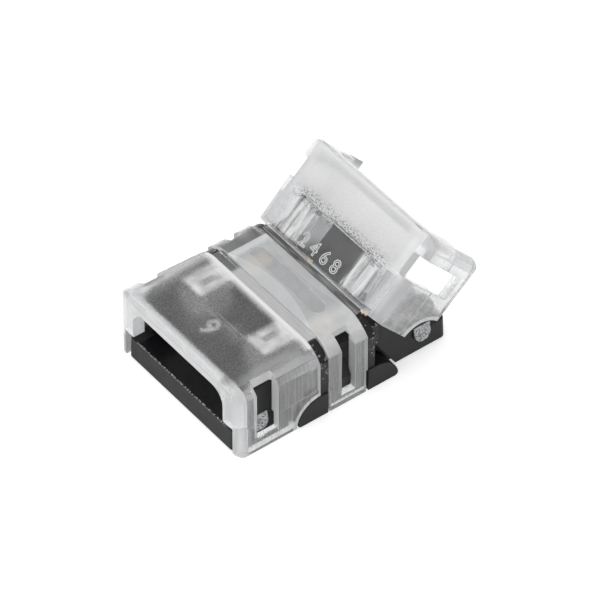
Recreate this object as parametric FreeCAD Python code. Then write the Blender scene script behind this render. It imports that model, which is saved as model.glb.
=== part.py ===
import FreeCAD, Part
import math
import os

V = FreeCAD.Vector

# Solderless connector for a flat LED strip. X runs along the strip, Z is up,
# and the origin is on the underside, in the middle of the connector.
# All sizes are in millimetres and angles in degrees.

# The strip and the black tray that it lies in
strip_width = 10.0
strip_side_play = 0.35
arm_wall = 1.15
tray_length = 20.0
floor_height = 2.0
floor_end_round = 0.12
floor_end_slope = 0.1
floor_corner_round = 0.4
channel_height = 3.6
arm_end_play = 0.65
arm_top_gap = 0.3
arm_corner_round = 0.8

# The clear covers: centre clip, front flap and rear flap
cover_play = 0.15
cover_wall = 0.85
cover_plate = 1.05
shoulder_drop = 1.28
shoulder_reach = 2.1
front_shoulder_drop = 0.78
front_shoulder_reach = 1.45
clip_length = 3.6
hinge_gap = 0.85
ground_gap = 0.05

# Mouth of a flap
mouth_overhang = 0.3
mouth_wall = 1.05
mouth_side_play = 0.2
mouth_corner_round = 1.3
mouth_lip_gap = 0.7
corner_depth = 0.65
corner_reach = 1.4
brow_round = 0.4
toe_round = 0.25

# Thin lower half of a flap's side wall, which passes outside the latch bosses
lower_wall = 0.6
lower_wall_height = 2.5

# Latch windows in the flaps, and the bosses on the tray arms behind them
window_mouth_gap = 0.67
window_length = 2.0
window_sill = 1.2
window_notch = 1.05
sill_bevel = 0.25
boss_length = 1.6
boss_height = 1.55
boss_round = 0.7
boss_offset = -0.08
boss_sill_play = 0.05
boss_running_play = 0.05

# Pads under a flap, which press the contacts onto the strip
pad_offset = 0.35
pad_length = 3.1
pad_width = 2.5
pad_arm_play = 0.15
pad_root = 0.2
pad_slot_length = 1.9
pad_slot_width = 0.95
pad_slot_height = 1.6
land_depth = 0.15
ejector_radius = 0.75
ejector_depth = 0.08
ejector_mouth_gap = 2.75
ejector_side_gap = 1.12

# Feet of the tray, and the quarter-round cut-outs of the flaps around them
foot_radius = 2.1
foot_nose_round = 0.3
foot_play = 0.12

# Ribs of the tray in the hinge gaps
rib_play = 0.1
rib_side_inset = 0.1
rib_web_gap = 0.15
rib_web_side_play = 0.1
rib_drop = 0.05

# Shallow pocket in each arm, between rib and foot
pocket_depth = 0.6
pocket_height = 4.3
pocket_reach = 2.75

# Centre clip
clip_rise = 0.22
crown_height = 0.32
clip_plate = 0.88
clip_facet_width = 0.95
clip_facet_drop = 0.34
clip_window_length = 1.3
clip_sill = 1.0
clip_notch = 1.3
clip_shoulder_reach = 2.5
clip_corner_bevel = 0.15
clip_bevel_height = 2.2
label_recess_length = 8.7
label_recess_width = 1.25
label_recess_depth = 0.08

# Latch bumps of the tray inside the clip windows
bump_length = 1.0
bump_proud = 0.6
bump_play = 0.25
bump_face_height = 0.95
bump_height = 2.4

# Living hinges between the clip and the flaps
web_thickness = 0.35
web_inset = 0.05
web_width = 11.7
rear_opening = 41.0

# Brass contacts
contact_center_y = 3.8
contact_width = 1.4
contact_thickness = 0.3
contact_floor_gap = 0.9
contact_pad_gap = 0.2
contact_length = 2.55
contact_bridge_drop = 0.85
contact_slot_play = 0.12
tooth_length = 0.45
tooth_floor_gap = 0.2
bridge_shoulder = 0.7
bridge_foot_gap = 0.15

# Sizes that follow
channel_half = strip_width / 2 + strip_side_play
tray_half = channel_half + arm_wall
cover_inner = tray_half + cover_play
cover_half = cover_inner + cover_wall
tray_end = tray_length / 2
ceiling = floor_height + channel_height
cover_top = ceiling + cover_plate
cover_edge = cover_top - shoulder_drop
arm_top = ceiling - arm_top_gap
clip_half = clip_length / 2
flap_inner = clip_half + hinge_gap
flap_front = tray_end + mouth_overhang
mouth_back = flap_front - mouth_wall
mouth_half = channel_half + mouth_side_play
arm_end = mouth_back - arm_end_play
rib_start = clip_half + rib_play
rib_end = flap_inner - rib_play
window_end = mouth_back - window_mouth_gap
window_start = window_end - window_length
boss_center_x = (window_start + window_end) / 2 - boss_offset
boss_foot = window_sill + boss_sill_play
pad_start_x = flap_inner + pad_offset
contact_reach = flap_inner + contact_length
bridge_half = clip_half - bridge_shoulder
bridge_foot = clip_half - bridge_foot_gap
web_top = cover_top - web_inset
web_middle = web_top - web_thickness / 2
hinge_x = clip_half + hinge_gap / 2
rib_top = web_top - web_thickness - rib_web_gap
pad_outer = channel_half - pad_arm_play
pad_bottom = floor_height + contact_floor_gap + contact_thickness + contact_pad_gap
clip_top = cover_top + clip_rise
clip_ceiling = clip_top - clip_plate
contact_level = floor_height + contact_floor_gap + contact_thickness / 2
bridge_level = clip_ceiling - contact_bridge_drop - contact_thickness / 2
beyond = 2.0
tiny = 0.01


def box(x0, x1, y0, y1, z0, z1):
    return Part.makeBox(x1 - x0, y1 - y0, z1 - z0, V(x0, y0, z0))


def both_sides(solid):
    """The solid and its mirror image across the middle of the strip."""
    return solid.fuse(solid.mirror(V(0, 0, 0), V(0, 1, 0)))


def both_ends(solid):
    """The solid and its mirror image at the other end of the strip."""
    return solid.fuse(solid.mirror(V(0, 0, 0), V(1, 0, 0)))


def polygon(points):
    return Part.Face(Part.makePolygon(points + points[:1]))


def arc(first, middle, last):
    return Part.Arc(first, middle, last).toShape()


def line(first, last):
    return Part.LineSegment(first, last).toShape()


def arc_about(center, start, end):
    """Arc about center from start to end, less than half a turn."""
    radius = (start - center).Length
    bisector = (start - center) + (end - center)
    bisector.normalize()
    return arc(start, center + bisector * radius, end)


def shoulder(x, side, half, reach, edge_z, top_z):
    """Arc from the upright side of a cover to its top, tangent to the top."""
    drop = top_z - edge_z
    radius = (reach ** 2 + drop ** 2) / (2 * drop)
    sweep = math.asin(reach / radius) if drop < radius else math.pi / 2
    middle_y = half - reach + radius * math.sin(sweep / 2)
    middle_z = top_z - radius + radius * math.cos(sweep / 2)
    inward = half - reach
    return [V(x, side * half, edge_z), V(x, side * middle_y, middle_z), V(x, side * inward, top_z)]


def arch_outline(x, half, reach, edge_z, top_z, crown=0.0):
    """A cover's outline across the strip: upright sides, curved shoulders, flat or crowned top."""
    near = shoulder(x, -1, half, reach, edge_z, top_z)
    far = shoulder(x, 1, half, reach, edge_z, top_z)
    if crown > 0:
        top = arc(near[2], V(x, 0, top_z + crown), far[2])
    else:
        top = line(near[2], far[2])
    near_foot = V(x, -half, 0)
    far_foot = V(x, half, 0)
    edges = [line(near_foot, near[0]), arc(*near), top]
    edges += [arc(*far[::-1]), line(far[0], far_foot), line(far_foot, near_foot)]
    return Part.Wire(edges)


def arch_prism(x0, x1, half, reach, edge_z, top_z, crown=0.0):
    outline = arch_outline(x0, half, reach, edge_z, top_z, crown)
    return Part.Face(outline).extrude(V(x1 - x0, 0, 0))


def flap_side_profile():
    """Outline of a flap seen from the side, with its foot cut-out and rounded toe."""
    radius = foot_radius + foot_play
    cut_center = V(flap_inner, -cover_half, 0)
    cut_top = V(flap_inner, -cover_half, radius)
    half_chord = math.sqrt(radius ** 2 - ground_gap ** 2)
    cut_end = V(flap_inner + half_chord, -cover_half, ground_gap)
    toe_center = V(flap_front - toe_round, -cover_half, ground_gap + toe_round)
    toe_start = toe_center - V(0, 0, toe_round)
    toe_end = toe_center + V(toe_round, 0, 0)
    front = V(flap_front, -cover_half, cover_top + beyond)
    inner = V(flap_inner, -cover_half, cover_top + beyond)
    edges = [arc_about(cut_center, cut_top, cut_end), line(cut_end, toe_start)]
    edges += [arc_about(toe_center, toe_start, toe_end), line(toe_end, front)]
    edges += [line(front, inner), line(inner, cut_top)]
    return Part.Face(Part.Wire(edges)).extrude(V(0, 2 * cover_half, 0))


def flap_plan_profile():
    """Outline of a flap seen from above, whose front corners are rounded further across than along."""
    center = V(flap_front - corner_depth, cover_half - corner_reach, 0)
    far_side = center + V(0, corner_reach, 0)
    far_front = center + V(corner_depth, 0, 0)
    far_corner = Part.ArcOfEllipse(Part.Ellipse(far_side, far_front, center), 0, math.pi / 2).toShape()
    near_corner = far_corner.mirror(V(0, 0, 0), V(0, 1, 0))
    near_side = V(far_side.x, -far_side.y, 0)
    near_front = V(far_front.x, -far_front.y, 0)
    near_back = V(flap_inner, -cover_half, 0)
    far_back = V(flap_inner, cover_half, 0)
    edges = [line(near_back, near_side), near_corner, line(near_front, far_front), far_corner]
    edges += [line(far_side, far_back), line(far_back, near_back)]
    return Part.Face(Part.Wire(Part.__sortEdges__(edges))).extrude(V(0, 0, cover_top))


def mouth_cut():
    """Arched way in for the strip, which widens below the posts so that they straddle the tray's lip."""
    x0 = mouth_back - beyond / 2
    x1 = flap_front + beyond
    near_center = V(x0, -(mouth_half - mouth_corner_round), ceiling - mouth_corner_round)
    far_center = V(x0, mouth_half - mouth_corner_round, ceiling - mouth_corner_round)
    near_side = near_center - V(0, mouth_corner_round, 0)
    near_top = near_center + V(0, 0, mouth_corner_round)
    far_top = far_center + V(0, 0, mouth_corner_round)
    far_side = far_center + V(0, mouth_corner_round, 0)
    near_foot = V(x0, -mouth_half, -beyond)
    far_foot = V(x0, mouth_half, -beyond)
    edges = [line(near_foot, near_side), arc_about(near_center, near_side, near_top)]
    edges += [line(near_top, far_top), arc_about(far_center, far_top, far_side)]
    edges += [line(far_side, far_foot), line(far_foot, near_foot)]
    arch = Part.Face(Part.Wire(edges)).extrude(V(x1 - x0, 0, 0))
    lip_room = box(x0, x1, -cover_inner, cover_inner, -beyond, floor_height + mouth_lip_gap)
    return arch.fuse(lip_room)


def flap_hollow():
    """Room inside a flap for the tray, wider at the bottom where the bosses pass."""
    x0 = flap_inner - beyond
    upper = box(x0, mouth_back, -cover_inner, cover_inner, -beyond, ceiling)
    lower_half = cover_half - lower_wall
    lower = box(x0, mouth_back, -lower_half, lower_half, -beyond, lower_wall_height)
    return upper.fuse(lower)


def flap_windows():
    """Latch windows, which run up through the shoulders as notches with rounded corners."""
    z0 = window_sill
    radius = window_notch - cover_wall
    y0 = cover_half - window_notch
    y1 = cover_half + beyond
    left_center = V(window_start + radius, y0 + radius, z0)
    right_center = V(window_end - radius, y0 + radius, z0)
    left_side = left_center - V(radius, 0, 0)
    left_back = left_center - V(0, radius, 0)
    right_back = right_center - V(0, radius, 0)
    right_side = right_center + V(radius, 0, 0)
    left_out = V(window_start, y1, z0)
    right_out = V(window_end, y1, z0)
    edges = [line(left_out, left_side), arc_about(left_center, left_side, left_back)]
    edges += [line(left_back, right_back), arc_about(right_center, right_back, right_side)]
    edges += [line(right_side, right_out), line(right_out, left_out)]
    opening = Part.Face(Part.Wire(edges)).extrude(V(0, 0, cover_top + beyond - z0))
    bevel_start = V(window_start, cover_half - sill_bevel, z0)
    bevel_end = V(window_start, y1, z0 - sill_bevel - beyond)
    bevel_lid = [V(window_start, y1, z0 + sill_bevel), V(window_start, bevel_start.y, z0 + sill_bevel)]
    bevel = polygon([bevel_start, bevel_end] + bevel_lid).extrude(V(window_length, 0, 0))
    return both_sides(opening.fuse(bevel))


def flap_pads():
    """Two pads under the plate, each with a blind slot for the end of a contact."""
    pad_end_x = pad_start_x + pad_length
    pad = box(pad_start_x, pad_end_x, pad_outer - pad_width, pad_outer, pad_bottom, ceiling + pad_root)
    slot_x = pad_start_x + (pad_length - pad_slot_length) / 2
    slot_y = contact_center_y - pad_slot_width / 2
    slot = box(slot_x, slot_x + pad_slot_length, slot_y, slot_y + pad_slot_width,
               pad_bottom - beyond, pad_bottom + pad_slot_height)
    return both_sides(pad.cut(slot))


def polished_land():
    """Shallow step under the plate between the pads."""
    half = pad_outer - pad_width
    return box(flap_inner, pad_start_x + pad_length, -half, half, ceiling - land_depth, ceiling + pad_root)


def ejector_mark():
    """Shallow round mark under the plate on the far side, left by the mould."""
    center = V(mouth_back - ejector_mouth_gap, cover_inner - ejector_side_gap, ceiling)
    return Part.makeCylinder(ejector_radius, ejector_depth, center)


def flap_shell():
    """Block with a flap's outer shape, whose shoulders get fuller towards the brow, with the brow rounded."""
    hinge_end = arch_outline(flap_inner, cover_half, shoulder_reach, cover_edge, cover_top)
    front_edge = cover_top - front_shoulder_drop
    front_end = arch_outline(flap_front, cover_half, front_shoulder_reach, front_edge, cover_top)
    shell = Part.makeLoft([hinge_end, front_end], True, True).common(flap_plan_profile())
    corner_start = flap_front - corner_depth - tiny
    brow = [edge for edge in shell.Edges
            if edge.BoundBox.XMin > corner_start and edge.BoundBox.ZMin > cover_edge]
    return shell.makeFillet(brow_round, brow)


def closed_flap():
    """Rear flap in its closed place."""
    body = flap_shell().common(flap_side_profile())
    body = body.cut(flap_hollow()).cut(mouth_cut()).cut(flap_windows()).cut(ejector_mark())
    return body.fuse([flap_pads(), polished_land()]).removeSplitter()


def front_flap():
    return closed_flap().mirror(V(0, 0, 0), V(1, 0, 0))


def rear_flap():
    """Flap at the other end, swung open about its living hinge."""
    flap = closed_flap()
    flap.rotate(V(hinge_x, 0, web_middle), V(0, -1, 0), rear_opening)
    return flap


def front_hinge_web():
    """Flat living hinge of the closed flap."""
    return box(-flap_inner, -clip_half, -web_width / 2, web_width / 2, web_top - web_thickness, web_top)


def rear_hinge_web():
    """Living hinge of the open flap, bent evenly from the clip to the flap."""
    bend = (hinge_gap / 2) / math.tan(math.radians(rear_opening / 2))
    center = V(clip_half, -web_width / 2, web_middle + bend)

    def point(radius, degrees):
        angle = math.radians(degrees)
        return center + V(radius * math.sin(angle), 0, -radius * math.cos(angle))

    inside = [point(bend - web_thickness / 2, share * rear_opening) for share in (0, 0.5, 1)]
    outside = [point(bend + web_thickness / 2, share * rear_opening) for share in (0, 0.5, 1)]
    edges = [arc(*outside), line(outside[2], inside[2]), arc(inside[2], inside[1], inside[0])]
    edges.append(line(inside[0], outside[0]))
    return Part.Face(Part.Wire(edges)).extrude(V(0, web_width, 0))


def clip_crown_shell():
    """Thin layer under the crowned top, as deep as the label recess."""
    span = cover_half - clip_shoulder_reach
    radius = (span ** 2 + crown_height ** 2) / (2 * crown_height)
    center_z = clip_top + crown_height - radius
    start = V(-beyond, 0, center_z)
    outer = Part.makeCylinder(radius + beyond, 2 * beyond, start, V(1, 0, 0))
    return outer.cut(Part.makeCylinder(radius - label_recess_depth, 2 * beyond, start, V(1, 0, 0)))


def label_recess():
    """Long shallow recess with round ends along the crown."""
    radius = label_recess_width / 2
    end = label_recess_length / 2 - radius
    height = 2 * beyond
    z0 = clip_top - beyond
    plan = box(-radius, radius, -end, end, z0, z0 + height)
    for side in (-1, 1):
        plan = plan.fuse(Part.makeCylinder(radius, height, V(0, side * end, z0)))
    return plan.common(clip_crown_shell())


def clip_facet():
    """Wedge taken off one long edge of the crown, which leaves a lens-shaped facet."""
    low = clip_top + crown_height - clip_facet_drop
    slope = clip_facet_drop / clip_facet_width
    y0 = -cover_half
    corner = V(clip_half + beyond, y0, low - slope * beyond)
    high = V(clip_half - clip_facet_width - beyond, y0, low + slope * (clip_facet_width + beyond))
    lid = V(clip_half + beyond, y0, high.z)
    return polygon([corner, lid, high]).extrude(V(0, 2 * cover_half, 0))


def clip_bevels():
    """Bevels up the lower half of the corners of the clip's walls."""
    low = V(clip_half - clip_corner_bevel - beyond, cover_half + beyond, -beyond)
    high = V(clip_half + beyond, cover_half - clip_corner_bevel - beyond, -beyond)
    corner = polygon([low, high, V(high.x, low.y, low.z)]).extrude(V(0, 0, clip_bevel_height + beyond))
    return both_sides(both_ends(corner))


def centre_clip():
    edge = cover_edge + clip_rise
    body = arch_prism(-clip_half, clip_half, cover_half, clip_shoulder_reach, edge, clip_top, crown_height)
    body = body.cut(both_ends(clip_facet()))
    hollow = box(-clip_half - beyond, clip_half + beyond, -cover_inner, cover_inner, -beyond, clip_ceiling)
    half = clip_window_length / 2
    window = box(-half, half, tray_half, cover_half + beyond, clip_sill, clip_ceiling)
    notch = box(-half, half, cover_half - clip_notch, cover_half + beyond, clip_sill, clip_top + beyond)
    body = body.cut(hollow).cut(both_sides(window.fuse(notch))).cut(label_recess()).cut(clip_bevels())
    return body.removeSplitter()


def tray_floor():
    """Floor plate with sloping ends, rounded lower end edges and rounded corners."""
    y0 = -tray_half
    foot = tray_end + floor_end_slope
    outline = [V(-tray_end, y0, floor_height), V(tray_end, y0, floor_height), V(foot, y0, 0), V(-foot, y0, 0)]
    plate = polygon(outline).extrude(V(0, 2 * tray_half, 0))
    corners = [edge for edge in plate.Edges if edge.BoundBox.ZLength > floor_height - tiny]
    plate = plate.makeFillet(floor_corner_round, corners)
    foot_edges = [edge for edge in plate.Edges if edge.BoundBox.ZMax < tiny and edge.BoundBox.XLength < foot]
    return plate.makeFillet(floor_end_round, foot_edges)


def tray_arm():
    """Upright wall beside the strip at the rear right, with its upper end corner rounded."""
    y0 = channel_half
    center = V(arm_end - arm_corner_round, y0, arm_top - arm_corner_round)
    end = center + V(arm_corner_round, 0, 0)
    top = center + V(0, 0, arm_corner_round)
    foot = V(arm_end, y0, floor_height / 2)
    middle_foot = V(0, y0, floor_height / 2)
    middle_top = V(0, y0, arm_top)
    edges = [line(foot, end), arc_about(center, end, top), line(top, middle_top)]
    edges += [line(middle_top, middle_foot), line(middle_foot, foot)]
    return Part.Face(Part.Wire(edges)).extrude(V(0, arm_wall, 0))


def arm_pocket():
    """Three-cornered pocket in the outside of an arm, between rib and foot."""
    y0 = tray_half - pocket_depth
    corners = [V(rib_end, y0, 0), V(rib_end + pocket_reach, y0, 0), V(rib_end, y0, pocket_height)]
    return polygon(corners).extrude(V(0, pocket_depth + beyond, 0))


def tray_foot():
    """Quarter-round foot flush with the covers' sides, with a blunt nose."""
    y0 = tray_half - pocket_depth
    depth = cover_half - y0
    nose_center_x = flap_inner + math.sqrt((foot_radius - foot_nose_round) ** 2 - foot_nose_round ** 2)
    nose_center = V(nose_center_x, y0, foot_nose_round)
    heel = V(rib_start, y0, 0)
    nose_foot = nose_center - V(0, 0, foot_nose_round)
    arc_center = V(flap_inner, y0, 0)
    outward = nose_center - arc_center
    outward.normalize()
    nose_top = arc_center + outward * foot_radius
    crest = V(flap_inner, y0, foot_radius)
    back = V(rib_start, y0, foot_radius)
    edges = [line(heel, nose_foot), arc_about(nose_center, nose_foot, nose_top)]
    edges += [arc_about(arc_center, nose_top, crest), line(crest, back), line(back, heel)]
    return Part.Face(Part.Wire(edges)).extrude(V(0, depth, 0))


def boss_outline():
    """Prism with a boss's outline seen from the side: straight above, with two rounded lower corners."""
    y0 = tray_half - pocket_depth / 2
    x0 = boss_center_x - boss_length / 2
    x1 = boss_center_x + boss_length / 2
    top = boss_foot + boss_height
    left_center = V(x0 + boss_round, y0, boss_foot + boss_round)
    right_center = V(x1 - boss_round, y0, boss_foot + boss_round)
    left_side = left_center - V(boss_round, 0, 0)
    left_foot = left_center - V(0, 0, boss_round)
    right_foot = right_center - V(0, 0, boss_round)
    right_side = right_center + V(boss_round, 0, 0)
    edges = [line(V(x0, y0, top), left_side), arc_about(left_center, left_side, left_foot)]
    edges += [line(left_foot, right_foot), arc_about(right_center, right_foot, right_side)]
    edges += [line(right_side, V(x1, y0, top)), line(V(x1, y0, top), V(x0, y0, top))]
    return Part.Face(Part.Wire(edges)).extrude(V(0, cover_half - y0, 0))


def latch_boss():
    """Boss on an arm. Its face leans out towards the bottom, so a closing flap rides over it."""
    proud = cover_half - lower_wall - boss_running_play - tray_half
    y0 = tray_half - pocket_depth / 2
    x0 = boss_center_x - boss_length / 2
    top = boss_foot + boss_height
    wedge = [V(x0, y0, top), V(x0, tray_half, top)]
    wedge += [V(x0, tray_half + proud, boss_foot), V(x0, y0, boss_foot)]
    return polygon(wedge).extrude(V(boss_length, 0, 0)).common(boss_outline())


def latch_bump():
    """Wedge that stands in the centre clip's window and holds it down."""
    foot_z = clip_sill + bump_play
    x0 = -bump_length / 2
    y0 = tray_half - pocket_depth / 2
    corners = [V(x0, y0, foot_z), V(x0, tray_half + bump_proud, foot_z)]
    corners.append(V(x0, tray_half + bump_proud, foot_z + bump_face_height))
    corners += [V(x0, tray_half, foot_z + bump_height), V(x0, y0, foot_z + bump_height)]
    return polygon(corners).extrude(V(bump_length, 0, 0))


def tray_rib():
    """Cross wall that fills the hinge gap, lower under the web, with a slot for each contact."""
    half = cover_half - rib_side_inset
    rib = arch_prism(rib_start, rib_end, half, shoulder_reach, cover_edge - rib_drop, cover_top - rib_drop)
    web_room = web_width / 2 + rib_web_side_play
    rib = rib.cut(box(rib_start - beyond, rib_end + beyond, -web_room, web_room, rib_top, cover_top + beyond))
    slot_half = contact_width / 2 + contact_slot_play
    z0 = contact_level - contact_thickness / 2 - contact_slot_play
    z1 = contact_level + contact_thickness / 2 + contact_slot_play
    slot = box(rib_start - beyond, rib_end + beyond,
               contact_center_y - slot_half, contact_center_y + slot_half, z0, z1)
    return rib.cut(both_sides(slot))


def bridge_block():
    """Block across the middle of the tray that carries the contacts."""
    half = bridge_half - contact_thickness / 2
    block_top = bridge_level - contact_thickness / 2
    return box(-half, half, -channel_half, channel_half, floor_height / 2, block_top)


def base():
    body = tray_floor().fuse(both_sides(both_ends(tray_arm())))
    body = body.cut(both_sides(both_ends(arm_pocket())))
    parts = [both_ends(tray_rib()), both_sides(both_ends(tray_foot())), bridge_block()]
    parts += [both_sides(both_ends(latch_boss())), both_sides(latch_bump())]
    return body.fuse(parts).removeSplitter()


def contact_path():
    """Middle line of one contact from the bridge to its end, as x and z."""
    bridge = [(0, bridge_level), (bridge_half, bridge_level)]
    return bridge + [(bridge_foot, contact_level), (contact_reach, contact_level)]


def offset_path(path, distance):
    """Points beside an open path, mitred at its corners."""
    moved = []
    for index, (x, z) in enumerate(path):
        normals = []
        for first, last in ((index - 1, index), (index, index + 1)):
            if first >= 0 and last < len(path):
                run = V(path[last][0] - path[first][0], 0, path[last][1] - path[first][1])
                run.normalize()
                normals.append(V(-run.z, 0, run.x))
        mean = normals[0] + normals[-1]
        mean.normalize()
        reach = distance / mean.dot(normals[0])
        moved.append(V(x + mean.x * reach, 0, z + mean.z * reach))
    return moved


def contact():
    """Brass strip bent over the bridge block, with a tooth at each end that bites into the strip."""
    half = contact_thickness / 2
    upper = offset_path(contact_path(), half)
    lower = offset_path(contact_path(), -half)
    y0 = contact_center_y - contact_width / 2
    blade = polygon([p + V(0, y0, 0) for p in upper + lower[::-1]]).extrude(V(0, contact_width, 0))
    root = contact_level - half
    tip = floor_height + tooth_floor_gap
    tooth = [V(contact_reach - tooth_length, y0, contact_level), V(contact_reach, y0, contact_level)]
    tooth += [V(contact_reach, y0, root), V(contact_reach - tooth_length / 2, y0, tip)]
    tooth.append(V(contact_reach - tooth_length, y0, root))
    blade = blade.fuse(polygon(tooth).extrude(V(0, contact_width, 0)))
    return both_ends(blade).removeSplitter()


def near_contact():
    return contact().mirror(V(0, 0, 0), V(0, 1, 0))


def main():
    os.makedirs("parts", exist_ok=True)
    nodes = {
        "base": base(),
        "centre_clip": centre_clip(),
        "front_flap": front_flap(),
        "rear_flap": rear_flap(),
        "front_hinge_web": front_hinge_web(),
        "rear_hinge_web": rear_hinge_web(),
        "contact_far": contact(),
        "contact_near": near_contact(),
    }
    for name, shape in nodes.items():
        solid = shape.Solids[0]
        solid.exportStep("parts/" + name + ".step")
        print(name, "solids", len(shape.Solids), "valid", shape.isValid(), "volume", round(shape.Volume, 2))


main()
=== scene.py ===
import math
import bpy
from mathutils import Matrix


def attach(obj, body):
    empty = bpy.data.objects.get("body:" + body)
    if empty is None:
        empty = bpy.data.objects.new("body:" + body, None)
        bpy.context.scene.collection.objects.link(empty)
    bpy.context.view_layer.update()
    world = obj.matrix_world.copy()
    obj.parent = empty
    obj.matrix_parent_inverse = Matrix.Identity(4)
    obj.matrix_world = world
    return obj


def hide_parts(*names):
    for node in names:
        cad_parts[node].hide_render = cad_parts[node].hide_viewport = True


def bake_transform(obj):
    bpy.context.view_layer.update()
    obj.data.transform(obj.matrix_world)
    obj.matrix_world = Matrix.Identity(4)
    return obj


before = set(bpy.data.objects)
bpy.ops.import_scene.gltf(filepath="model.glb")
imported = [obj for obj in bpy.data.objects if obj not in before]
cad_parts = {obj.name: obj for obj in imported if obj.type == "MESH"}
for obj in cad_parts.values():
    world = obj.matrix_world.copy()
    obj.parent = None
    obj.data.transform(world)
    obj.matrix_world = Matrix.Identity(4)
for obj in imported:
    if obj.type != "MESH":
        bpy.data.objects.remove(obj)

from types import SimpleNamespace

import bpy
from mathutils import Matrix, Vector

MM = 0.001

# Places on the connector, in millimetres with the covers closed
CLIP_HALF = 1.8
CLIP_CEILING = 5.99
RECESS_CENTRE = 3.72
RECESS_RADIUS = 0.625
FLAP_INNER = 2.65
COVER_HALF = 7.5
COVER_TOP = 6.65
CEILING = 5.6
CHANNEL_HALF = 5.35
TRAY_HALF = 6.5
TRAY_END = 10.0
FLOOR_HEIGHT = 2.0
RIB_ALONG = (1.9, 3.5)
FOOT_CUT_RADIUS = 2.22
HINGE_X = 2.225
HINGE_Z = 6.425
REAR_OPENING = 41.0

# Latch bosses of the tray
BOSS_ALONG = 7.76
BOSS_UP = 2.0
BOSS_RADIUS = 0.82
BOSS_TOP = 2.6

# Parts of a flap: from and to along the connector, across from its middle, or up
PAD_ALONG = (2.9, 6.2)
PAD_ACROSS = (2.6, 5.3)
GLOW_ALONG = (3.3, 5.8)
GLOW_ACROSS = (3.1, 4.8)
PAD_FRONT_ALONG = (6.0, 6.7)
PAD_FRONT_ACROSS = (1.6, 3.7)
SLOT_ALONG = (4.1, 5.0)
SLOT_ACROSS = (3.6, 3.95)
STEP_ALONG = (6.02, 6.12)
STEP_LINE_ALONG = (6.08, 6.16)
STEP_LINE_ACROSS = (-3.2, 0.7)
CREST_ALONG = (6.2, 6.4)
WINDOW_ALONG = (6.5, 8.6)
NOTCH_ACROSS = (6.4, 6.65)
WALL_INSIDE = (6.6, 7.0)
JAMB_ACROSS = (5.5, 6.7)
MOUTH_BACK = (9.2, 9.3)
LINTEL_FOOT_UP = (5.55, 5.65)
POST_FOOT_UP = (2.6, 2.8)

# Fades of the masks on a cover: where a mask is 0, then where it is 1
ON_FRONT = (10.1, 10.2)
BEFORE_MOUTH = (9.2, 9.1)
LINTEL_ALONG = (9.3, 10.15)
LINTEL_ACROSS = (7.2, 5.6)
LINTEL_UP = (5.2, 5.7)
WALL_ACROSS = (6.4, 6.45)
UNDER_PLATE = (5.5, 5.4)
FOOT_CUT_ALONG = (5.1, 5.0)
FOOT_CUT_UP = (2.35, 2.25)
NOTCH_UP = (5.4, 5.6)
SHOULDER_ACROSS = (5.4, 6.9)
SHOULDER_UP = (5.0, 5.7)
FLANK_ACROSS = (4.9, 6.4)
GRAIN_ALONG = (9.1, 8.4)
GRAIN_ACROSS = (5.6, 4.8)
CREST_ACROSS = (5.4, 4.8)
PLATE_SIDE_ACROSS = (4.7, 6.2)
PLATE_RIM_ACROSS = (5.4, 6.2)
BETWEEN_PADS = (2.75, 2.65)
CROWN_ACROSS = (5.1, 4.9)
CROWN_END_ACROSS = (4.0, 4.9)
RECESS_UP = (6.6, 6.7)
FACET_ALONG = (0.7, 0.8)
FACET_UP = (6.4, 6.5)

# Rounding of edges that the material shows
COVER_EDGE_ROUND = 0.11
TRAY_EDGE_ROUND = 0.08

# Clear plastic: its colour, and its roughness where it is polished
CLEAR_TINT = (0.93, 0.935, 0.94, 1.0)
POLISHED = 0.06

# Finish of each flap: shares of frost, tones of grey from 0 to 1, and reaches in millimetres
FRONT_LOOK = SimpleNamespace(
    grain=0.03, pit=0.5, top_grain=(0.0, 0.03), matt=0.42, matt_from=3.0, haze=0.03, plate=0.7, speck=0.26, dots=0.0,
    glow=0.75, glow_low=0.7, clouds=1.0, pads=(0.3, 0.4), pad_tone=0.93, pad_fronts=0.2, veins=0.0, step_line=0.35,
    wall=0.3, wall_low=1.0, streaks=1.0, front=0.38, jambs=0.6, shoulders=0.06, shoulder_tone=0.84,
    inner=0.7, rim=0.8, rim_reach=1.0, painted_rim_highlight=1.0,
)
REAR_LOOK = SimpleNamespace(
    grain=0.05, pit=0.88, top_grain=(0.35, 0.5), matt=0.45, matt_from=6.4, haze=0.05, plate=0.8, speck=0.68, dots=1.0,
    glow=0.85, glow_low=0.05, clouds=0.0, pads=(0.25, 1.0), pad_tone=1.0, pad_fronts=0.0, veins=0.9, step_line=0.0,
    wall=0.7, wall_low=0.5, streaks=0.4, front=0.4, jambs=0.25, shoulders=0.3, shoulder_tone=0.85,
    inner=0.1, rim=0.2, rim_reach=0.3, painted_rim_highlight=0.0,
)

# Living hinges
WEB_THICKNESS = 0.35
WEB_WIDTH = 11.7
WEB_STEPS = 12
WEB_ROWS = 24

# Numbers: height of a digit as a share of the type's size, then heights and middles in millimetres
DIGIT_SHARE = 0.72
ROW_HEIGHT = 1.15
ROW_MIDDLE = (3.7, 0.2, COVER_TOP)
CAVITY_DIGIT_HEIGHT = 1.7
CAVITY_DIGIT_MIDDLE = (-7.0, 0.17, CEILING - 0.03)

# White surroundings: brightness of the paper, its own glow to the camera and the light of the sky
PAPER = 0.82
PAPER_GLOW = 0.55
SKY_LIGHT = 0.45
FLOOR_REACH = 600.0
FLOOR_LEVEL = -0.02

# Camera fitted to the photograph: direction in degrees, distance and target in millimetres
CAMERA_AZIMUTH = 37.62
CAMERA_ELEVATION = 44.54
CAMERA_DISTANCE = 452.4
CAMERA_TARGET = (0.0, 0.0, 3.0)
PIXELS_PER_MM = 13.297
IMAGE_SIZE = 600
TARGET_PIXEL = (287.40, 316.83)
SENSOR = 36.0


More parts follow.
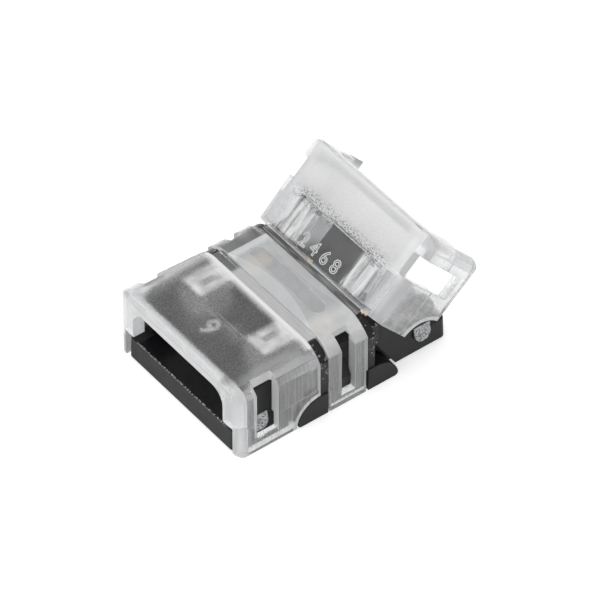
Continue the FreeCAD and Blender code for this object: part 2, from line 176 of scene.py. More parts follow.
class Graph:
    """Short calls that add and link the nodes of one material or world."""

    def __init__(self, tree):
        tree.nodes.clear()
        self.tree = tree

    def node(self, kind, inputs=None, **settings):
        made = self.tree.nodes.new("ShaderNode" + kind)
        for name, value in settings.items():
            setattr(made, name, value)
        for name, value in (inputs or {}).items():
            self.put(value, made.inputs[name])
        return made

    def put(self, value, socket):
        if isinstance(value, bpy.types.NodeSocket):
            self.tree.links.new(value, socket)
        else:
            socket.default_value = value

    def math(self, operation, *values, clamp=False):
        made = self.node("Math", operation=operation, use_clamp=clamp)
        for index, value in enumerate(values):
            self.put(value, made.inputs[index])
        return made.outputs[0]

    def ramp(self, value, low, high, start=0.0, end=1.0):
        """Value mapped so that low gives start and high gives end, smoothly and without overshoot."""
        inputs = {"Value": value, "From Min": low, "From Max": high, "To Min": start, "To Max": end}
        return self.node("MapRange", inputs, interpolation_type="SMOOTHSTEP").outputs[0]

    def both(self, *masks):
        result = masks[0]
        for mask in masks[1:]:
            result = self.math("MULTIPLY", result, mask)
        return result

    def either(self, *masks):
        result = masks[0]
        for mask in masks[1:]:
            result = self.math("MAXIMUM", result, mask)
        return result

    def within(self, value, low, high, soft):
        """1 between low and high, fading out over soft on both sides."""
        rise = self.ramp(value, low - soft, low)
        fall = self.ramp(value, high, high + soft, 1.0, 0.0)
        return self.both(rise, fall)

    def blend(self, factor, first, second):
        made = self.node("Mix", data_type="RGBA")
        self.put(factor, made.inputs["Factor"])
        self.put(first, made.inputs["A"])
        self.put(second, made.inputs["B"])
        return made.outputs["Result"]

    def scaled(self, factor, first, second):
        """A number between first at factor 0 and second at factor 1."""
        made = self.node("Mix", data_type="FLOAT")
        self.put(factor, made.inputs["Factor"])
        self.put(first, made.inputs["A"])
        self.put(second, made.inputs["B"])
        return made.outputs["Result"]


def material(name):
    made = bpy.data.materials.new(name)
    made.use_nodes = True
    return made, Graph(made.node_tree)


def turned_back(graph, vector, opening, center):
    """A direction or point of an open flap, turned back to where it lies with the flap closed."""
    turn = {"Vector": vector, "Center": center, "Axis": (0.0, 1.0, 0.0), "Angle": math.radians(opening)}
    return graph.node("VectorRotate", turn, rotation_type="AXIS_ANGLE").outputs[0]


def closed_place(graph, opening):
    """Surface point in millimetres, as it lies with the covers closed."""
    point = graph.node("TexCoord").outputs["Object"]
    if opening:
        point = turned_back(graph, point, opening, (HINGE_X * MM, 0.0, HINGE_Z * MM))
    scale = graph.node("VectorMath", operation="SCALE")
    graph.put(point, scale.inputs[0])
    scale.inputs["Scale"].default_value = 1 / MM
    return scale.outputs[0]


def closed_facing(graph, opening):
    """Direction that the surface faces, as it lies with the covers closed."""
    facing = graph.node("TexCoord").outputs["Normal"]
    if opening:
        facing = turned_back(graph, facing, opening, (0.0, 0.0, 0.0))
    return facing


def noise(graph, place, scale, detail=2.0, roughness=0.5, stretch=None):
    """Noise from about 0 to 1, with scale in cycles per millimetre."""
    if stretch:
        place = graph.node("Mapping", {"Vector": place, "Scale": stretch}).outputs[0]
    inputs = {"Vector": place, "Scale": scale, "Detail": detail, "Roughness": roughness}
    return graph.node("TexNoise", inputs).outputs["Fac"]


def grey(tone, blue=1.0):
    """Even tone as a colour, with its blue scaled for a cool cast."""
    return (tone, tone, tone * blue, 1.0)


def rounded_edges(graph, radius):
    """Normal that rounds sharp edges by radius in millimetres."""
    return graph.node("Bevel", {"Radius": radius * MM}, samples=6).outputs[0]


def edge_mask(graph, rounded):
    """1 on sharp edges, where the rounded normal leans away from the surface's own."""
    flat = graph.node("NewGeometry").outputs["True Normal"]
    dot = graph.node("VectorMath", operation="DOT_PRODUCT")
    graph.put(rounded, dot.inputs[0])
    graph.put(flat, dot.inputs[1])
    away = graph.math("SUBTRACT", 1.0, graph.math("ABSOLUTE", dot.outputs["Value"]))
    return graph.ramp(away, 0.005, 0.12)


def bump(graph, strength, height, normal=None, depth=0.02):
    """Normal of a fine relief, with depth in millimetres."""
    inputs = {"Strength": strength, "Distance": depth * MM, "Height": height}
    if normal is not None:
        inputs["Normal"] = normal
    return graph.node("Bump", inputs).outputs[0]


def show(graph, shader, kind="OutputMaterial"):
    output = graph.node(kind)
    graph.put(shader.outputs[0], output.inputs["Surface"])


def clear_surface(graph, tint, gloss, clear, relief):
    """Clear plastic that lets most of the light through to what lies behind it."""
    plastic = graph.node("BsdfPrincipled", {
        "Base Color": tint,
        "Roughness": gloss,
        "IOR": 1.58,
        "Transmission Weight": clear,
        "Normal": relief,
    })
    veil = graph.node("BsdfTransparent", {"Color": (0.85, 0.855, 0.86, 1.0)})
    shadow = graph.node("LightPath").outputs["Is Shadow Ray"]
    surface = graph.node("MixShader", {"Fac": shadow})
    graph.put(plastic.outputs[0], surface.inputs[1])
    graph.put(veil.outputs[0], surface.inputs[2])
    show(graph, surface)


def surroundings(graph, opening):
    """Where a surface point lies and which way it faces, as with the covers closed."""
    place = closed_place(graph, opening)
    split = graph.node("SeparateXYZ", {"Vector": place})
    facing = graph.node("SeparateXYZ", {"Vector": closed_facing(graph, opening)})
    tilt = {axis: graph.math("ABSOLUTE", facing.outputs[axis]) for axis in "XYZ"}
    return SimpleNamespace(
        place=place,
        y=split.outputs["Y"],
        up=split.outputs["Z"],
        along=graph.math("ABSOLUTE", split.outputs["X"]),
        across=graph.math("ABSOLUTE", split.outputs["Y"]),
        lean=tilt["X"],
        end_face=graph.ramp(tilt["X"], 0.8, 0.95),
        side_face=graph.ramp(tilt["Y"], 0.9, 0.97),
        flat_face=graph.ramp(tilt["Z"], 0.6, 0.9),
    )


def total(graph, weighted):
    """Sum of (mask, weight) pairs, at most 1."""
    result = graph.math("MULTIPLY", *weighted[0])
    for mask, weight in weighted[1:]:
        result = graph.math("ADD", result, graph.math("MULTIPLY", mask, weight), clamp=True)
    return result


def distance(graph, first, second):
    """How far a point lies from a centre, from its offsets in two directions."""
    sides = graph.node("CombineXYZ", {"X": first, "Y": second})
    length = graph.node("VectorMath", operation="LENGTH")
    graph.put(sides.outputs[0], length.inputs[0])
    return length.outputs["Value"]


def opposite(graph, mask):
    return graph.math("SUBTRACT", 1.0, mask)


def mottling(graph, place):
    """Broad, faint unevenness of clear mouldings."""
    return graph.ramp(noise(graph, place, 0.55, detail=3.0), 0.35, 0.7)


def upright_streaks(graph, place):
    """Fine upright lines on the walls."""
    lines = noise(graph, place, 6.0, detail=3.0, roughness=0.7, stretch=(1.0, 1.0, 0.03))
    return graph.ramp(lines, 0.36, 0.64)


def outer_sides(graph, at):
    return graph.both(at.side_face, graph.ramp(at.across, COVER_HALF - 0.2, COVER_HALF - 0.1))


def flap_textures(graph, place):
    """Irregular patterns in the plastic of a flap, from 0 to 1. Bars and veins run along the connector."""
    grain = noise(graph, place, 8.0, detail=3.0, roughness=0.8)
    bars = noise(graph, place, 1.7, detail=2.0, stretch=(0.12, 1.0, 0.12))
    veins = noise(graph, place, 1.3, detail=1.0, stretch=(0.1, 1.0, 0.1))
    return SimpleNamespace(
        grain=grain,
        speckle=graph.ramp(grain, 0.42, 0.58),
        dots=graph.ramp(noise(graph, place, 8.0, detail=1.0), 0.47, 0.42),
        haze=graph.ramp(noise(graph, place, 0.45, detail=2.0), 0.4, 0.65),
        cloud=graph.ramp(noise(graph, place, 0.9, detail=4.0, roughness=0.6), 0.35, 0.65),
        mottle=mottling(graph, place),
        bars=graph.ramp(bars, 0.42, 0.56),
        veins=graph.ramp(veins, 0.485, 0.43),
        streaks=upright_streaks(graph, place),
    )


def flap_walls(graph, at):
    """Masks of the faces of a flap's walls, mouth and cut-outs."""
    along, across, up = at.along, at.across, at.up
    past_mouth = graph.ramp(along, *MOUTH_BACK)
    side_skin = outer_sides(graph, at)
    from_foot = distance(graph, graph.math("SUBTRACT", along, FLAP_INNER), up)
    return SimpleNamespace(
        side_skin=side_skin,
        inside=graph.both(at.side_face, graph.within(across, *WALL_INSIDE, 0.05), graph.ramp(up, *UNDER_PLATE)),
        jambs=graph.both(at.side_face, graph.within(across, *JAMB_ACROSS, 0.05), past_mouth),
        cut_ends=graph.both(at.end_face, graph.ramp(across, *WALL_ACROSS), graph.ramp(along, *BEFORE_MOUTH)),
        mouth_back=graph.both(at.end_face, graph.within(along, *MOUTH_BACK, 0.03)),
        front=graph.both(at.end_face, graph.ramp(along, *ON_FRONT)),
        lintel=graph.both(graph.ramp(along, *LINTEL_ALONG), graph.ramp(up, *LINTEL_UP),
                          graph.ramp(across, *LINTEL_ACROSS)),
        lintel_foot=graph.both(at.flat_face, past_mouth, graph.within(up, *LINTEL_FOOT_UP, 0.03)),
        post_feet=graph.both(at.flat_face, past_mouth, graph.within(up, *POST_FOOT_UP, 0.05)),
        foot_band=graph.both(side_skin, graph.ramp(from_foot, FOOT_CUT_RADIUS + 0.42, FOOT_CUT_RADIUS + 0.3)),
        foot_cut=graph.both(opposite(graph, at.side_face), graph.ramp(up, *FOOT_CUT_UP),
                            graph.ramp(along, *FOOT_CUT_ALONG)),
        notch=graph.both(graph.within(across, *NOTCH_ACROSS, 0.05), graph.within(along, *WINDOW_ALONG, 0.1),
                         graph.ramp(up, *NOTCH_UP), opposite(graph, at.flat_face)),
        shoulders=graph.both(graph.ramp(across, *SHOULDER_ACROSS), graph.ramp(up, *SHOULDER_UP)),
    )


def flap_plate(graph, at, texture, look):
    """Masks on a flap's plate: its two skins, the pads under it, and its edge along the hinge."""
    along, across, up = at.along, at.across, at.up
    near_top = graph.ramp(up, COVER_TOP - 0.3, COVER_TOP - 0.15)
    top_skin = graph.both(at.flat_face, graph.ramp(up, COVER_TOP - 0.15, COVER_TOP - 0.05))
    matt_top = graph.both(top_skin, graph.ramp(along, look.matt_from - 0.2, look.matt_from + 0.2))
    textured = graph.both(at.flat_face, graph.within(up, CEILING - 0.03, CEILING + 0.1, 0.02),
                          graph.ramp(along, *GRAIN_ALONG))
    slots = graph.both(graph.within(along, *SLOT_ALONG, 0.35), graph.within(across, *SLOT_ACROSS, 0.25))
    pad_glow = graph.both(top_skin, graph.within(along, *GLOW_ALONG, 0.55), graph.within(across, *GLOW_ACROSS, 0.7))
    glow_pattern = graph.scaled(look.clouds, texture.bars, texture.cloud)
    return SimpleNamespace(
        top_skin=top_skin,
        matt_top=matt_top,
        textured=textured,
        land=graph.both(at.flat_face, graph.within(up, CEILING - 0.17, CEILING - 0.12, 0.02)),
        flank=graph.both(textured, graph.ramp(across, *FLANK_ACROSS)),
        pads=graph.both(graph.within(along, *PAD_ALONG, 0.05), graph.within(across, *PAD_ACROSS, 0.05),
                        graph.ramp(up, CEILING - 0.16, CEILING - 0.2)),
        pad_haze=graph.both(pad_glow, graph.scaled(glow_pattern, look.glow_low, 1.0), graph.scaled(slots, 1.0, 0.5)),
        pad_fronts=graph.both(matt_top, graph.within(along, *PAD_FRONT_ALONG, 0.9),
                              graph.within(across, *PAD_FRONT_ACROSS, 1.2), graph.scaled(texture.cloud, 0.3, 1.0)),
        step=graph.both(graph.within(along, *STEP_ALONG, 0.03), graph.ramp(across, *BETWEEN_PADS),
                        graph.within(up, CEILING - 0.2, CEILING + 0.02, 0.01)),
        step_line=graph.both(top_skin, graph.within(along, *STEP_LINE_ALONG, 0.05),
                             graph.within(at.y, *STEP_LINE_ACROSS, 0.3)),
        crest=graph.both(top_skin, graph.within(along, *CREST_ALONG, 0.9), graph.ramp(across, *CREST_ACROSS)),
        inner_end=graph.both(graph.within(along, FLAP_INNER - 0.02, FLAP_INNER + 0.02, 0.02), at.end_face),
        rim=graph.both(graph.ramp(along, FLAP_INNER + look.rim_reach, FLAP_INNER + 0.25), near_top),
        # Painted highlight: a bright line along the plate's hinge edge, standing in for the light that edge catches
        painted_rim_highlight=graph.both(graph.ramp(along, FLAP_INNER + 0.34, FLAP_INNER + 0.22), near_top),
    )


def flap_frost(graph, at, texture, wall, plate, edges, look):
    """How white and opaque a flap is, from 0 for clear to 1."""
    rough_cuts = graph.either(wall.post_feet, wall.foot_cut, wall.notch, wall.lintel_foot, wall.foot_band)
    hazy_sides = graph.either(texture.haze, graph.ramp(at.across, *PLATE_SIDE_ACROSS))
    wall_haze = graph.scaled(texture.streaks, look.wall * (1.0 - 0.6 * look.streaks), look.wall)
    return total(graph, [
        (plate.textured, graph.scaled(texture.speckle, 0.0, look.grain)),
        (plate.land, graph.scaled(texture.speckle, 0.0, look.grain * 0.6)),
        (plate.matt_top, graph.scaled(texture.speckle, *look.top_grain)),
        (graph.both(plate.matt_top, hazy_sides), look.haze),
        (texture.mottle, 0.02),
        (plate.flank, 0.22),
        (plate.pads, graph.scaled(texture.bars, *look.pads)),
        (plate.pad_haze, look.glow),
        (plate.pad_fronts, look.pad_fronts),
        (plate.step, 0.8),
        (wall.side_skin, graph.scaled(texture.streaks, 0.0, 0.08 * look.streaks)),
        (wall.inside, graph.both(wall_haze, graph.scaled(texture.cloud, look.wall_low, 1.0))),
        (graph.either(wall.jambs, wall.cut_ends, wall.mouth_back), look.jambs),
        (rough_cuts, 0.9),
        (wall.front, 0.1),
        (wall.lintel, look.front),
        (plate.inner_end, look.inner),
        (plate.step_line, look.step_line),
        (plate.rim, look.rim),
        (plate.painted_rim_highlight, look.painted_rim_highlight),
        (wall.shoulders, look.shoulders),
        (edges, 0.3),
    ])


def flap_gloss(graph, wall, plate, look):
    """Roughness of a flap: polished outside, satin on its front and matt on its plate and pads."""
    satin = graph.either(wall.front, wall.lintel, wall.shoulders)
    matt = graph.either(plate.pads, wall.jambs, wall.mouth_back)
    gloss = graph.math("MAXIMUM", POLISHED, graph.math("MULTIPLY", satin, 0.14))
    gloss = graph.math("MAXIMUM", gloss, graph.math("MULTIPLY", matt, 0.35))
    return graph.math("MAXIMUM", gloss, graph.math("MULTIPLY", plate.matt_top, look.matt))


def flap_tint(graph, at, texture, wall, plate, look):
    """Colour of a flap, darker in its pits, specks, streaks and veins."""
    flats = graph.either(plate.textured, plate.land)
    pits = graph.both(flats, opposite(graph, texture.speckle), graph.ramp(at.across, *GRAIN_ACROSS))
    hazy = graph.either(wall.lintel, plate.pad_haze, plate.rim, graph.ramp(at.across, *PLATE_RIM_ACROSS))
    plain_top = graph.both(plate.matt_top, opposite(graph, hazy))
    wall_tone = CLEAR_TINT[0] - 0.31 * look.streaks
    layers = [
        (pits, grey(look.pit, 1.02)),
        (plain_top, grey(look.plate)),
        (graph.both(plain_top, opposite(graph, texture.speckle)), grey(look.speck, 1.01)),
        (graph.math("MULTIPLY", graph.both(plate.crest, texture.dots), look.dots), (0.15, 0.15, 0.155, 1.0)),
        (graph.both(plate.pads, texture.bars), grey(look.pad_tone)),
        (graph.math("MULTIPLY", graph.both(plate.pads, texture.veins), look.veins), (0.2, 0.2, 0.21, 1.0)),
        (wall.shoulders, grey(look.shoulder_tone, 1.01)),
        # Painted highlight: white along the hinge edge of the plate
        (graph.math("MULTIPLY", plate.painted_rim_highlight, look.painted_rim_highlight), grey(1.0)),
        (graph.both(wall.side_skin, opposite(graph, texture.streaks)), grey(wall_tone, 1.02)),
    ]
    tint = CLEAR_TINT
    for mask, colour in layers:
        tint = graph.blend(mask, tint, colour)
    return tint


def flap_plastic(name, opening, look):
    """Clear flap: glossy outside, grained under the plate, frosted on its inner faces and hazy over its pads."""
    made, graph = material(name)
    at = surroundings(graph, opening)
    texture = flap_textures(graph, at.place)
    wall = flap_walls(graph, at)
    plate = flap_plate(graph, at, texture, look)
    rounded = rounded_edges(graph, COVER_EDGE_ROUND)
    frost = flap_frost(graph, at, texture, wall, plate, edge_mask(graph, rounded), look)
    height = graph.math("ADD", graph.both(plate.textured, texture.grain), graph.both(at.side_face, texture.streaks))
    relief = bump(graph, 0.1 + 0.15 * look.streaks, height, normal=rounded)
    tint = flap_tint(graph, at, texture, wall, plate, look)
    clear_surface(graph, tint, flap_gloss(graph, wall, plate, look), opposite(graph, frost), relief)
    return made


def clip_plastic(name):
    """Clear centre clip: hazy crown and bright facets, a clearer recess along its middle and clear far shoulder."""
    made, graph = material(name)
    at = surroundings(graph, 0.0)
    along, across, up = at.along, at.across, at.up
    mottle = mottling(graph, at.place)
    streaks = upright_streaks(graph, at.place)
    crown = graph.both(graph.ramp(across, *CROWN_ACROSS), graph.ramp(up, CLIP_CEILING - 0.1, CLIP_CEILING))
    past_recess_centre = graph.math("MAXIMUM", graph.math("SUBTRACT", across, RECESS_CENTRE), 0.0)
    reach = distance(graph, along, past_recess_centre)
    recess = graph.both(graph.ramp(reach, RECESS_RADIUS + 0.035, RECESS_RADIUS - 0.025), graph.ramp(up, *RECESS_UP))
    ends = graph.both(crown, graph.ramp(across, *CROWN_END_ACROSS))
    facets = graph.both(graph.within(at.lean, 0.2, 0.5, 0.04), graph.ramp(up, *FACET_UP),
                        graph.ramp(along, *FACET_ALONG))
    near_shoulder = graph.both(graph.ramp(at.y, -4.9, -5.1), graph.ramp(up, 5.5, 5.7))
    far_shoulder = graph.both(graph.ramp(at.y, 4.9, 5.1), graph.ramp(up, 5.9, 6.1))
    side_skin = outer_sides(graph, at)
    inner_walls = graph.both(at.side_face, graph.within(across, 6.6, 6.7, 0.05), graph.ramp(up, *UNDER_PLATE))
    posts = graph.both(at.end_face, graph.ramp(across, *WALL_ACROSS))
    rounded = rounded_edges(graph, COVER_EDGE_ROUND)
    frost = total(graph, [
        (crown, graph.scaled(mottle, 0.36, 0.42)),
        (graph.both(ends, graph.ramp(at.y, 0.0, 1.0)), 0.4),
        (graph.both(ends, graph.ramp(at.y, 0.0, -1.0)), 0.2),
        (facets, 0.16),
        (near_shoulder, graph.scaled(mottle, 0.42, 0.58)),
        (far_shoulder, graph.scaled(mottle, 0.02, 0.15)),
        (side_skin, graph.scaled(streaks, 0.05, 0.22)),
        (inner_walls, graph.scaled(streaks, 0.1, 0.3)),
        (posts, 0.4),
        (edge_mask(graph, rounded), 0.3),
    ])
    frost = graph.math("MULTIPLY", frost, graph.scaled(recess, 1.0, 0.75))
    relief = bump(graph, 0.25, graph.both(at.side_face, streaks), normal=rounded)
    tint = graph.blend(crown, CLEAR_TINT, (0.865, 0.872, 0.882, 1.0))
    tint = graph.blend(recess, tint, (0.825, 0.832, 0.842, 1.0))
    tint = graph.blend(side_skin, tint, (0.84, 0.85, 0.86, 1.0))
    satin = graph.math("MULTIPLY", graph.either(crown, far_shoulder), 0.22)
    gloss = graph.math("MAXIMUM", graph.scaled(mottle, POLISHED, 0.1), satin)
    clear_surface(graph, tint, gloss, opposite(graph, frost), relief)
    return made


def hinge_plastic(name, haze, tones, far_clear):
    """Thin web with fine lines along the hinge, its haze and tones each from low to high, clearer at its far end."""
    made, graph = material(name)
    at = surroundings(graph, 0.0)
    lines = graph.ramp(noise(graph, at.place, 7.0, detail=2.0, stretch=(1.0, 0.05, 1.0)), 0.38, 0.62)
    veil = graph.both(graph.scaled(lines, *haze), graph.ramp(at.y, 3.2, 3.8, 1.0, 1.0 - far_clear))
    dark, pale = tones
    tint = graph.blend(lines, grey(dark, 1.01), grey(pale, 1.01))
    clear_surface(graph, tint, graph.scaled(lines, 0.1, 0.2), opposite(graph, veil), bump(graph, 0.2, lines))
    return made


def raised_marks(name, frost):
    """Raised numbers of the moulding, matt from fine grain."""
    made, graph = material(name)
    grain = noise(graph, closed_place(graph, 0.0), 9.0, detail=3.0, roughness=0.7)
    grain = graph.ramp(grain, 0.35, 0.65)
    tint = graph.blend(grain, (0.88, 0.89, 0.9, 1.0), (0.98, 0.985, 0.99, 1.0))
    veil = graph.scaled(grain, frost * 0.85, frost)
    clear_surface(graph, tint, graph.scaled(grain, 0.25, 0.4), opposite(graph, veil), bump(graph, 0.3, grain))
    return made


def black_plastic():
    """Black moulded plastic with a satin grain, a painted pale grainy sheen on the textured latch bosses, painted
    glints on the rib ends and dots along the tray's lip.
    """
    made, graph = material("black_satin_plastic")
    place = closed_place(graph, 0.0)
    split = graph.node("SeparateXYZ", {"Vector": place})
    along = graph.math("ABSOLUTE", split.outputs["X"])
    across = graph.math("ABSOLUTE", split.outputs["Y"])
    up = split.outputs["Z"]
    grain = noise(graph, place, 11.0, detail=3.0, roughness=0.65)
    cloud = graph.ramp(noise(graph, place, 0.8, detail=4.0), 0.3, 0.7)
    boss_grain_sheen = graph.ramp(noise(graph, place, 6.5, detail=4.0, roughness=0.75), 0.42, 0.53)
    dots = graph.ramp(noise(graph, place, 7.0, detail=0.0), 0.48, 0.55)
    glints = graph.ramp(noise(graph, place, 3.2, detail=2.0), 0.6, 0.66)
    channel = graph.both(graph.ramp(across, CHANNEL_HALF + 0.02, CHANNEL_HALF - 0.02),
                         graph.ramp(up, FLOOR_HEIGHT - 0.05, FLOOR_HEIGHT - 0.01))
    below_centre = graph.math("MAXIMUM", graph.math("SUBTRACT", BOSS_UP, up), 0.0)
    reach = distance(graph, graph.math("SUBTRACT", along, BOSS_ALONG), below_centre)
    boss = graph.both(graph.ramp(reach, BOSS_RADIUS + 0.04, BOSS_RADIUS - 0.04),
                      graph.ramp(up, BOSS_TOP + 0.05, BOSS_TOP - 0.02),
                      graph.ramp(across, TRAY_HALF + 0.02, TRAY_HALF + 0.06))
    lip = graph.both(graph.within(along, TRAY_END - 0.09, TRAY_END + 0.05, 0.02),
                     graph.within(up, FLOOR_HEIGHT - 0.06, FLOOR_HEIGHT + 0.05, 0.01),
                     graph.ramp(across, CHANNEL_HALF + 0.3, CHANNEL_HALF))
    rib_ends = graph.both(graph.within(along, *RIB_ALONG, 0.1), graph.ramp(across, 6.0, 6.2),
                          graph.ramp(up, 3.0, 3.2))
    body = graph.blend(cloud, (0.008, 0.008, 0.0085, 1.0), (0.012, 0.012, 0.0125, 1.0))
    # Painted shade: the channel floor is painted darker, as shade in the recess under the flaps; its glossier finish
    # is real
    body = graph.blend(channel, body, (0.005, 0.005, 0.006, 1.0))
    # Painted sheen: the real textured face of the latch bosses is painted pale in grainy specks, standing in for the
    # light its texture catches
    body = graph.blend(boss, body, graph.blend(boss_grain_sheen, (0.14, 0.145, 0.15, 1.0), (0.72, 0.74, 0.75, 1.0)))
    body = graph.blend(graph.both(lip, dots), body, (0.42, 0.43, 0.43, 1.0))
    # Painted highlights: pale glint spots on the rib ends
    body = graph.blend(graph.both(rib_ends, glints), body, (0.3, 0.31, 0.32, 1.0))
    gloss = graph.scaled(graph.either(channel, rib_ends), graph.scaled(cloud, 0.4, 0.5), 0.25)
    plastic = graph.node("BsdfPrincipled", {
        "Base Color": body,
        "Roughness": gloss,
        "IOR": 1.45,
        "Specular IOR Level": 0.28,
        "Normal": bump(graph, 0.3, grain, normal=rounded_edges(graph, TRAY_EDGE_ROUND)),
    })
    show(graph, plastic)
    return made


def brass():
    """Stamped brass sheet with fine rolling lines."""
    made, graph = material("stamped_brass")
    place = closed_place(graph, 0.0)
    lines = noise(graph, place, 6.0, detail=2.0, stretch=(0.08, 1.0, 1.0))
    tone = graph.ramp(noise(graph, place, 0.9, detail=3.0), 0.3, 0.7)
    metal = graph.node("BsdfPrincipled", {
        "Base Color": graph.blend(tone, (0.72, 0.50, 0.24, 1.0), (0.84, 0.63, 0.34, 1.0)),
        "Metallic": 1.0,
        "Roughness": graph.scaled(lines, 0.2, 0.34),
        "Normal": bump(graph, 0.15, lines, depth=0.01),
    })
    show(graph, metal)
    return made


def hinge_turn():
    """Turns a closed rear flap into its open place."""
    pivot = Matrix.Translation(Vector((HINGE_X, 0.0, HINGE_Z)) * MM)
    return pivot @ Matrix.Rotation(math.radians(-REAR_OPENING), 4, "Y") @ pivot.inverted()


def mesh_object(name, points, faces, finish):
    mesh = bpy.data.meshes.new(name)
    mesh.from_pydata([Vector(p) * MM for p in points], [], faces)
    mesh.materials.append(finish)
    made = bpy.data.objects.new(name, mesh)
    bpy.context.collection.objects.link(made)
    return made


def grid_faces(columns, rows):
    """Quads of a closed ring of columns points, repeated in rows."""
    faces = []
    for row in range(rows - 1):
        for column in range(columns):
            following = (column + 1) % columns
            low, high = row * columns, (row + 1) * columns
            faces.append((low + column, low + following, high + following, high + column))
    return faces


def hinge_web(name, middle_line, finish):
    """Flat band along middle_line, its (x, z, slope in degrees) from the clip to the flap."""
    half = WEB_THICKNESS / 2
    upper, lower = [], []
    for x, z, slope in middle_line:
        turn = math.radians(slope)
        upper.append((x - half * math.sin(turn), z + half * math.cos(turn)))
        lower.append((x + half * math.sin(turn), z - half * math.cos(turn)))
    ring = upper + lower[::-1]
    points = []
    for row in range(WEB_ROWS + 1):
        y = WEB_WIDTH * (row / WEB_ROWS - 0.5)
        points += [(x, y, z) for x, z in ring]
    count = len(ring)
    faces = grid_faces(count, WEB_ROWS + 1)
    for start in (0, WEB_ROWS * count):
        for step in range(len(upper) - 1):
            corners = (step, step + 1, count - 2 - step, count - 1 - step)
            faces.append(tuple(start + corner for corner in corners))
    if middle_line[-1][0] < middle_line[0][0]:
        faces = [face[::-1] for face in faces]
    return mesh_object(name, points, faces, finish)


def front_web(finish):
    line = []
    for step in range(WEB_STEPS + 1):
        x = -CLIP_HALF - (FLAP_INNER - CLIP_HALF) * step / WEB_STEPS
        line.append((x, HINGE_Z, 0.0))
    made = hinge_web("front_hinge_band", line, finish)
    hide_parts("front_hinge_web")
    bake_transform(made)
    return made


def rear_web(finish):
    radius = (HINGE_X - CLIP_HALF) / math.tan(math.radians(REAR_OPENING / 2))
    line = []
    for step in range(WEB_STEPS + 1):
        slope = REAR_OPENING * step / WEB_STEPS
        turn = math.radians(slope)
        line.append((CLIP_HALF + radius * math.sin(turn), HINGE_Z + radius * (1 - math.cos(turn)), slope))
    made = hinge_web("rear_hinge_band", line, finish)
    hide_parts("rear_hinge_web")
    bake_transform(made)
    return made


def number_mesh(name, text, height, settings, frame_axes, middle, finish):
    """Raised digits of a given height around middle, with (reading direction, upward, outward) as frame_axes."""
    data = bpy.data.curves.new(name, "FONT")
    data.body = text
    data.align_x = "CENTER"
    data.align_y = "CENTER"
    data.resolution_u = 6
    data.size = height / DIGIT_SHARE * MM
    for key, value in settings.items():
        setattr(data, key, value)
    outline = bpy.data.objects.new(name + "_outline", data)
    bpy.context.collection.objects.link(outline)
    bpy.context.view_layer.update()
    mesh = bpy.data.meshes.new_from_object(outline.evaluated_get(bpy.context.evaluated_depsgraph_get()))
    bpy.data.objects.remove(outline)
    bpy.data.curves.remove(data)
    turn = Matrix([Vector(axis) for axis in frame_axes]).transposed().to_4x4()
    mesh.transform(Matrix.Translation(Vector(middle) * MM) @ turn)
    mesh.materials.clear()
    mesh.materials.append(finish)
    mesh.name = name
    made = bpy.data.objects.new(name, mesh)
    bpy.context.collection.objects.link(made)
    return made


def numbers():
    """Outlined row on the rear flap beside its hinge, and one digit under the front flap's plate."""
    axes = ((0.0, -1.0, 0.0), (1.0, 0.0, 0.0), (0.0, 0.0, 1.0))
    outlined = {"fill_mode": "NONE", "bevel_depth": 0.04 * MM, "bevel_resolution": 1}
    row = number_mesh("flap_numbers", "2 4 6 8", ROW_HEIGHT, outlined, axes, ROW_MIDDLE,
                      raised_marks("raised_numbers", frost=0.97))
    row.data.transform(hinge_turn())
    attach(row, "rear_cover")
    axes = ((0.0, 1.0, 0.0), (-1.0, 0.0, 0.0), (0.0, 0.0, 1.0))
    solid = {"fill_mode": "BOTH", "extrude": 0.03 * MM, "offset": 0.04 * MM}
    digit = number_mesh("cavity_number", "6", CAVITY_DIGIT_HEIGHT, solid, axes, CAVITY_DIGIT_MIDDLE,
                        raised_marks("raised_cavity_number", frost=1.0))
    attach(digit, "front_cover")


def dress_nodes(finishes):
    for name, finish in finishes.items():
        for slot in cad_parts[name].material_slots:
            slot.material = finish


def backdrop_share(graph):
    """1 for the rays that show the background: straight ones, mirrored ones and those through glass."""
    path = graph.node("LightPath")
    seen = graph.math("MAXIMUM", path.outputs["Is Camera Ray"], path.outputs["Is Glossy Ray"])
    return graph.math("MAXIMUM", seen, path.outputs["Is Transmission Ray"])


def white_floor():
    made, graph = material("white_floor")
    paper = graph.node("BsdfDiffuse", {"Color": grey(PAPER)})
    glow = graph.node("Emission", {"Color": grey(1.0),
                                   "Strength": graph.math("MULTIPLY", backdrop_share(graph), PAPER_GLOW)})
    lit_paper = graph.node("AddShader")
    graph.put(paper.outputs[0], lit_paper.inputs[0])
    graph.put(glow.outputs[0], lit_paper.inputs[1])
    show(graph, lit_paper)
    corners = [(x * FLOOR_REACH, y * FLOOR_REACH, FLOOR_LEVEL) for x, y in ((-1, -1), (1, -1), (1, 1), (-1, 1))]
    mesh_object("floor", corners, [(0, 1, 2, 3)], made)


def soft_world():
    """White to the camera and through glass, and a softer light on the part."""
    world = bpy.data.worlds.new("soft_studio")
    world.use_nodes = True
    bpy.context.scene.world = world
    graph = Graph(world.node_tree)
    light = graph.node("Background", {"Color": grey(1.0), "Strength": SKY_LIGHT})
    seen = graph.node("Background", {"Color": grey(1.0), "Strength": 1.0})
    mix = graph.node("MixShader", {"Fac": backdrop_share(graph)})
    graph.put(light.outputs[0], mix.inputs[1])
    graph.put(seen.outputs[0], mix.inputs[2])
    show(graph, mix, kind="OutputWorld")


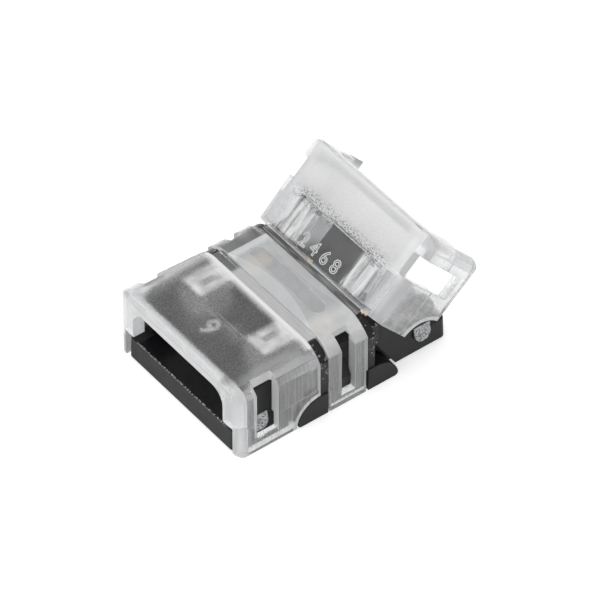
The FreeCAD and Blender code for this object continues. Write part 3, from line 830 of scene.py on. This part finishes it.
def lamp(name, place, size, power):
    """Square soft box at place, aimed at the connector. Distances are in millimetres."""
    data = bpy.data.lights.new(name, "AREA")
    data.shape = "SQUARE"
    data.size = size * MM
    data.energy = power
    made = bpy.data.objects.new(name, data)
    bpy.context.collection.objects.link(made)
    spot = Vector(place) * MM
    made.location = spot
    made.rotation_euler = (Vector(CAMERA_TARGET) * MM - spot).to_track_quat("-Z", "Y").to_euler()


def photo_camera():
    azimuth = math.radians(CAMERA_AZIMUTH)
    elevation = math.radians(CAMERA_ELEVATION)
    level = math.cos(elevation)
    forward = Vector((math.sin(azimuth) * level, math.cos(azimuth) * level, -math.sin(elevation)))
    right = Vector((math.cos(azimuth), -math.sin(azimuth), 0.0))
    upward = right.cross(forward)
    focal = PIXELS_PER_MM * CAMERA_DISTANCE
    middle = IMAGE_SIZE / 2
    aside = (TARGET_PIXEL[0] - middle) / focal
    above = (middle - TARGET_PIXEL[1]) / focal
    spot = Vector(CAMERA_TARGET) - CAMERA_DISTANCE * (forward + aside * right + above * upward)
    data = bpy.data.cameras.new("photo_camera")
    data.sensor_width = SENSOR
    data.lens = focal * SENSOR / IMAGE_SIZE
    data.clip_start = 10 * MM
    data.clip_end = 5000 * MM
    made = bpy.data.objects.new("photo_camera", data)
    bpy.context.collection.objects.link(made)
    turn = Matrix((right, upward, -forward)).transposed().to_4x4()
    made.matrix_world = Matrix.Translation(spot * MM) @ turn
    bpy.context.scene.camera = made


def main():
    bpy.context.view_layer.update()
    metal = brass()
    dress_nodes({
        "base": black_plastic(),
        "centre_clip": clip_plastic("clear_plastic_clip"),
        "front_flap": flap_plastic("clear_plastic_front", 0.0, FRONT_LOOK),
        "rear_flap": flap_plastic("clear_plastic_rear", REAR_OPENING, REAR_LOOK),
        "contact_far": metal,
        "contact_near": metal,
    })
    front_web(hinge_plastic("clear_hinge_front", haze=(0.5, 0.55), tones=(0.8, 0.84), far_clear=0.9))
    rear_web(hinge_plastic("clear_hinge_rear", haze=(0.25, 0.5), tones=(0.12, 0.4), far_clear=0.0))
    numbers()
    white_floor()
    soft_world()
    lamp("top_box", place=(-60.0, 40.0, 330.0), size=260.0, power=0.35)
    lamp("left_box", place=(-320.0, -80.0, 200.0), size=220.0, power=0.2)
    photo_camera()
    bpy.context.scene.view_settings.view_transform = "Standard"


main()
